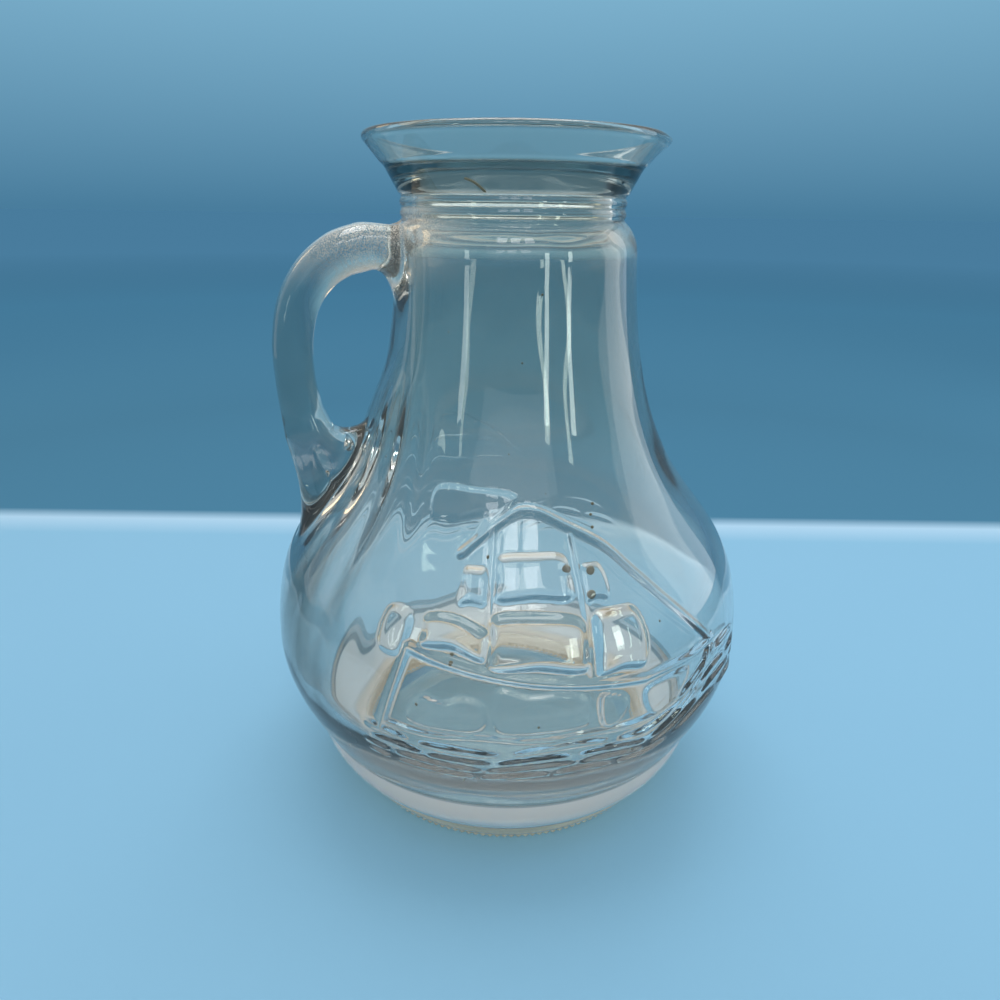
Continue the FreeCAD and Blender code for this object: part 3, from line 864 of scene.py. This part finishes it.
def lump(name, places, material, hollow=False):
    """Rounded lumps as one piece, each its (x, y, z) and (half sizes); hollow ones face inwards."""
    vertices, faces = [], []
    for middle, halves in places:
        first = len(vertices)
        for level in range(1, LUMP_LEVELS):
            polar = math.pi * level / LUMP_LEVELS
            for step in range(LUMP_SIDES):
                turn = math.tau * step / LUMP_SIDES
                way = (math.sin(polar) * math.cos(turn), math.sin(polar) * math.sin(turn), math.cos(polar))
                vertices.append([(m + h * w) * MM for m, h, w in zip(middle, halves, way)])
        last = first + (LUMP_LEVELS - 2) * LUMP_SIDES
        for ring in range(first, last, LUMP_SIDES):
            for step in range(LUMP_SIDES):
                here, beside = ring + step, ring + (step + 1) % LUMP_SIDES
                faces.append((here, here + LUMP_SIDES, beside + LUMP_SIDES, beside))
        faces.append(tuple(first + step for step in range(LUMP_SIDES)))
        faces.append(tuple(last + step for step in reversed(range(LUMP_SIDES))))
    if hollow:
        faces = [tuple(reversed(corners)) for corners in faces]
    mesh = bpy.data.meshes.new(name)
    mesh.from_pydata(vertices, [], faces)
    mesh.shade_smooth()
    mesh.materials.append(material)
    piece = bpy.data.objects.new(name, mesh)
    bpy.context.scene.collection.objects.link(piece)
    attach(piece, "root")


def on_wall(angle, height, depth):
    """A place in the wall, depth millimetres under the outer skin; angle 0 is -Y and grows towards +X."""
    x, y, z = surface(np.array([270.0 + angle]), np.array([length_at(height)]))[0]
    shrink = 1 - depth / math.hypot(x, y)
    return (x * shrink, y * shrink, z)


# Marks are (angle, height, half sizes), all at one depth in the wall.
DIRT_DEPTH, DIRT_GRAIN, DIRT_ROUGHNESS = 1.6, 400.0, 0.6
SPOTS = [(-1.0, 100.0, (1.3, 0.5, 1.3)), (5.0, 99.0, (1.2, 0.5, 1.5)), (4.0, 94.0, (1.2, 0.5, 1.3))]
SPECKS = [(-20.5, 103.0, (0.5, 0.4, 0.6)), (-26.5, 80.7, (0.6, 0.4, 0.6)), (-26.5, 78.6, (0.6, 0.4, 0.6)),
          (11.0, 114.0, (0.5, 0.3, 0.5)), (9.5, 111.5, (0.45, 0.3, 0.45)), (9.0, 108.5, (0.5, 0.3, 0.5)),
          (-3.0, 170.0, (0.35, 0.3, 0.35)), (-11.0, 152.0, (0.3, 0.3, 0.3)), (-33.0, 66.0, (0.35, 0.3, 0.4)),
          (-9.0, 62.0, (0.4, 0.3, 0.35)), (12.0, 48.0, (0.35, 0.3, 0.35)), (-24.0, 41.0, (0.3, 0.3, 0.5)),
          (20.0, 84.0, (0.3, 0.3, 0.35)), (-13.0, 14.0, (0.45, 0.4, 0.4)), (165.0, 92.0, (0.5, 0.4, 0.6)),
          (205.0, 150.0, (0.35, 0.3, 0.35)), (150.0, 70.0, (0.4, 0.3, 0.4))]
# The fibre's angle and height at one end, how far both go, its arch and its lift off the wall.
FIBRE_START, FIBRE_RUN, FIBRE_ARCH, FIBRE_LIFT = (-35.5, 198.6), (7.5, -3.0), 0.5, 0.3
FIBRE_HALVES, FIBRE_LUMPS = (0.42, 0.3, 0.3), 17


def dirt_material(name, dark, light):
    """A dull material mottled between two colours."""
    material = bpy.data.materials.new(name)
    nodes = Nodes(material)
    vector, _ = nodes.place()
    mottled = nodes.mix(nodes.noise(vector, DIRT_GRAIN), (*dark, 1), (*light, 1))
    nodes.feed(nodes.shader.inputs["Base Color"], mottled)
    nodes.shader.inputs["Roughness"].default_value = DIRT_ROUGHNESS
    return material


def make_dirt():
    """Spots and specks in the glass, and a fibre on the outside of the collar, under the lip."""
    dark = dirt_material("dark_speck", (0.08, 0.09, 0.05), (0.22, 0.19, 0.12))
    pale = dirt_material("pale_spot", (0.13, 0.15, 0.12), (0.36, 0.33, 0.26))
    for name, marks, material in (("spots", SPOTS, pale), ("specks", SPECKS, dark)):
        lump(name, [(on_wall(angle, height, DIRT_DEPTH), size) for angle, height, size in marks], material)
    fibre = []
    for share in np.linspace(0, 1, FIBRE_LUMPS):
        angle = FIBRE_START[0] + FIBRE_RUN[0] * share
        height = FIBRE_START[1] + FIBRE_RUN[1] * share + FIBRE_ARCH * math.sin(math.pi * share)
        fibre.append((on_wall(angle, height, -FIBRE_LIFT), FIBRE_HALVES))
    lump("fibre", fibre, dark)


def make_camera():
    """A near, wide view that looks down from just under the rim's height, with a small roll."""
    camera = bpy.data.cameras.new("camera")
    camera.lens = CAMERA_LENS
    camera.sensor_width = SENSOR_WIDTH
    camera.clip_start = CLIP_START
    holder = bpy.data.objects.new("camera", camera)
    turn = math.radians(CAMERA_ANGLE)
    forward = np.array([-math.sin(turn), math.cos(turn)])
    right = np.array([math.cos(turn), math.sin(turn)])
    spot = (-CAMERA_BACK * forward + CAMERA_ASIDE * right) * MM
    holder.location = (spot[0], spot[1], CAMERA_UP * MM)
    holder.rotation_mode = "QUATERNION"
    pose = (Matrix.Rotation(turn, 3, "Z")
            @ Matrix.Rotation(math.pi / 2 - math.radians(CAMERA_PITCH), 3, "X")
            @ Matrix.Rotation(math.radians(CAMERA_ROLL), 3, "Z"))
    holder.rotation_quaternion = pose.to_quaternion()
    bpy.context.scene.collection.objects.link(holder)
    bpy.context.scene.camera = holder


bpy.context.scene.cycles.max_bounces = LIGHT_BOUNCES
bpy.context.scene.cycles.transmission_bounces = LIGHT_BOUNCES
bpy.context.scene.cycles.diffuse_bounces = DIFFUSE_BOUNCES
make_floor()
make_world()
softbox("overhead", 180, 0.28, 1.25, (0.9, 0.9), 4.2)
softbox("fill", 4, 1.1, 0.62, (1.2, 0.5), 0.5, (1.0, 0.98, 0.96))
softbox("window_left", -42, 1.2, 0.34, (0.10, 0.26), 4.8, (0.9, 1.0, 0.92))
softbox("window_mid", 29, 1.2, 0.34, (0.08, 0.26), 8.0, (0.88, 1.0, 0.9))
softbox("window_right", 50, 1.2, 0.34, (0.08, 0.26), 8.0, (0.88, 1.0, 0.9))
for pane, angle in enumerate((-12, 2, 16)):
    softbox(f"pane_{pane}", angle, 0.9, 0.95, (0.16, 0.26), 3.8)
softbox("card_right", 105, 0.8, 0.35, (0.5, 0.7), 1.0, (1.0, 0.97, 0.94))
softbox("card_left", -105, 0.8, 0.35, (0.4, 0.7), 0.45, (1.0, 0.90, 0.78))
softbox("warm", -122, 0.7, 0.55, (0.14, 0.20), 2.7, (1.0, 0.74, 0.42))
make_camera()

pitcher = make_pitcher()
clear_glass = glass()
pitcher.data.materials.append(clear_glass)
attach(pitcher, "root")
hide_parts("pitcher_glass")
make_dirt()
bubbles = [((-54.0, 0.0, 120.4), (1.9, 2.6, 1.7)), ((-60.5, 3.0, 112.0), (1.0, 1.0, 1.6))]
lump("bubble", bubbles, clear_glass, hollow=True)

bpy.context.scene.view_settings.view_transform = "Standard"
